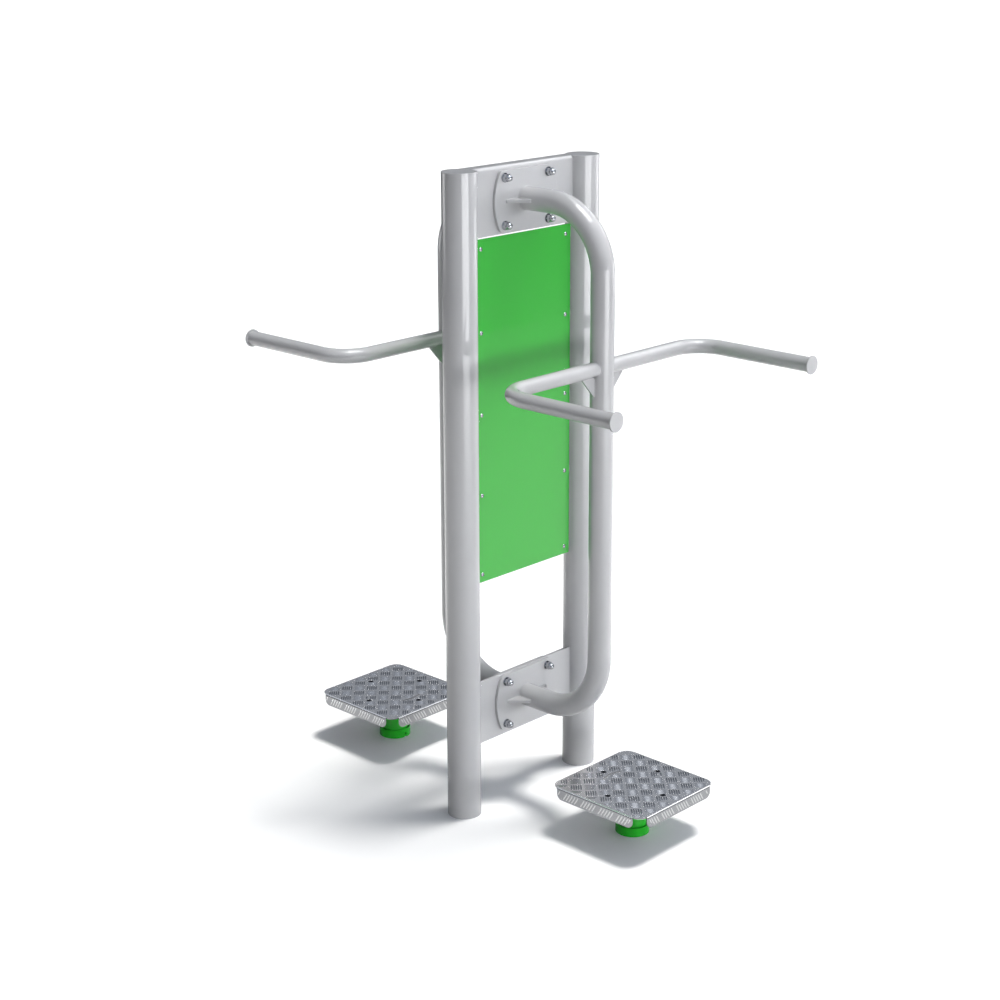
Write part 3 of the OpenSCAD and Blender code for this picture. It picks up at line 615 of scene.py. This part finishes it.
# Soft boxes that gloss shows. Each of the first kind has its left and right edge in degrees,
# from the front (-Y) towards the right (+X), its lower and upper edge in Z, and its strength.
AZIMUTH_BOXES = (
    ((-29.5, -28.0), (14.5, 17.0), (-0.34, -0.16), (-0.02, 0.02), 7.0),
    ((55.0, 65.0), (100.0, 112.0), (0.32, 0.42), (0.66, 0.76), 2.2),
    ((60.0, 66.0), (90.0, 100.0), (-0.22, -0.16), (-0.08, -0.02), 2.5),
    ((-176.0, -170.0), (-150.0, -144.0), (-0.20, -0.15), (0.0, 0.06), 2.6),
)
TOP_BOX_X, TOP_BOX_Y = ((-0.28, -0.26), (0.31, 0.34)), ((-0.46, -0.43), (0.03, 0.05))
TOP_BOX_Z, TOP_BOX_STRENGTH = (0.80, 0.85), 9.0
STRIP_RIGHT, STRIP_Z, STRIP_STRENGTH = ((-0.06, 0.02), (0.12, 0.18)), (0.78, 0.88), 2.2
BOX_TINT = (0.99, 1.0, 1.01)
# A ray that has met one surface comes to the world with depth 2
FIRST_REFLECTION = 2.5

# The room that gloss shows round the boxes
ROOM_LOW, ROOM_LOW_Z = 1.35, (-0.28, -0.17)
ROOM_Z, ROOM_UPPER, ROOM_TOP, ROOM_TINT = (0.25, 0.78), 0.17, 0.70, (0.90, 0.97, 1.10)
DARK_SIDE_RIGHT, DARK_SIDE_Z, DARK_SIDE_TONES = (-0.75, -0.25), (0.15, 0.30), (0.06, 0.95)
FRONT_CAMERA, FRONT_Z, FRONT_STRENGTH = (0.2, 0.7), (0.15, 0.35), 0.5

KEY_FROM, KEY_STRENGTH, KEY_WIDTH = Vector((0.26, -0.12, 1.0)), 2.90, math.radians(14)
KEY_COLOR = (1.0, 0.985, 0.96)


def make_world():
    """Pale studio: soft light from low down, and the bright and dark sides that gloss shows."""
    world = bpy.data.worlds.new("studio")
    bpy.context.scene.world = world
    world.use_nodes = True
    # Without direct sampling, gloss and matte surfaces each take only their own side of the studio
    world.cycles.sampling_method = "NONE"
    t = Tree(world.node_tree)
    way = t.add("ShaderNodeTexCoord").outputs["Generated"]
    x, y, z = t.add("ShaderNodeSeparateXYZ", Vector=way).outputs
    path = t.add("ShaderNodeLightPath").outputs

    def toward(side):
        node = t.add("ShaderNodeVectorMath", {"operation": "DOT_PRODUCT"})
        t.put_all(node.inputs, (way, side))
        return node.outputs["Value"]

    def tinted(value, tint):
        node = t.add("ShaderNodeCombineColor")
        t.put_all(node.inputs, [t.product(value, share) for share in tint])
        return node.outputs[0]

    # Matte surfaces: strong light on the key's side, weaker from behind
    fill = t.math("ADD", FILL_EVEN, t.product(toward(TO_KEY_SIDE), FILL_KEY_SIDE))
    fill = t.product(t.math("MAXIMUM", fill, FILL_LEAST), t.ramp(z, *FILL_Z, 1.0, FILL_ABOVE))
    behind = t.product(t.math("MAXIMUM", toward(TO_BEHIND), 0.0), t.ramp(z, *BEHIND_Z, 1.0, 0.0),
                       BEHIND_STRENGTH)
    glow = t.math("ADD", fill, behind)
    soft = t.mix(t.ramp(z, *TINT_Z), tinted(glow, TINT_LOW), tinted(glow, TINT_HIGH))

    # Gloss: the boxes, and only in what the camera sees at once. In a second reflection they
    # would be glints.
    azimuth = t.math("ARCTAN2", x, t.product(y, -1.0))
    right = toward(TO_RIGHT)
    top_box = t.product(t.band(x, *TOP_BOX_X), t.band(y, *TOP_BOX_Y), t.ramp(z, *TOP_BOX_Z),
                        TOP_BOX_STRENGTH)
    strip = t.product(t.band(right, *STRIP_RIGHT), t.ramp(z, *STRIP_Z), STRIP_STRENGTH)
    boxes = t.math("ADD", top_box, strip)
    for left_edge, right_edge, low_edge, high_edge, strength in AZIMUTH_BOXES:
        rise, fall = ([math.radians(a) for a in edge] for edge in (left_edge, right_edge))
        box = t.product(t.band(azimuth, rise, fall), t.band(z, low_edge, high_edge), strength)
        boxes = t.math("ADD", boxes, box)
    boxes = t.product(boxes, t.math("LESS_THAN", path["Ray Depth"], FIRST_REFLECTION))

    # Gloss: the room, pale low down and dim above, darker on the left and brighter in front
    dark_side = t.ramp(right, *DARK_SIDE_RIGHT, t.ramp(z, *DARK_SIDE_Z, *DARK_SIDE_TONES), 1.0)
    front = t.product(t.ramp(toward(TO_CAMERA), *FRONT_CAMERA), t.ramp(z, *FRONT_Z),
                      FRONT_STRENGTH)
    upper = t.product(t.ramp(z, *ROOM_Z, ROOM_UPPER, ROOM_TOP), dark_side)
    upper = t.math("ADD", upper, front)
    room = t.mix(t.ramp(z, *ROOM_LOW_Z), tinted(ROOM_LOW, (1.0, 1.0, 1.0)),
                 tinted(upper, ROOM_TINT))
    shine = t.mix(1.0, room, tinted(boxes, BOX_TINT), "ADD")

    color = t.mix(path["Is Glossy Ray"], soft, shine)
    color = t.mix(path["Is Camera Ray"], color, rgb(1, 1, 1))
    background = t.add("ShaderNodeBackground", Color=color, Strength=1.0)
    t.add("ShaderNodeOutputWorld", Surface=background.outputs[0])


def make_key():
    """The key lamp, nearly overhead, which casts the shadows on the floor."""
    data = bpy.data.lights.new("key", "SUN")
    data.energy, data.angle, data.color = KEY_STRENGTH, KEY_WIDTH, KEY_COLOR
    sun = bpy.data.objects.new("key", data)
    sun.rotation_mode = "QUATERNION"
    sun.rotation_quaternion = KEY_FROM.normalized().to_track_quat("Z", "Y")
    sun.visible_glossy = False
    bpy.context.scene.collection.objects.link(sun)


make_camera()
dress_nodes()
make_welds()
make_bars("front", FRONT_Y, 0.0)
make_bars("rear", REAR_Y, math.pi)
make_floor()
make_world()
make_key()
bpy.context.scene.view_settings.view_transform = "Standard"
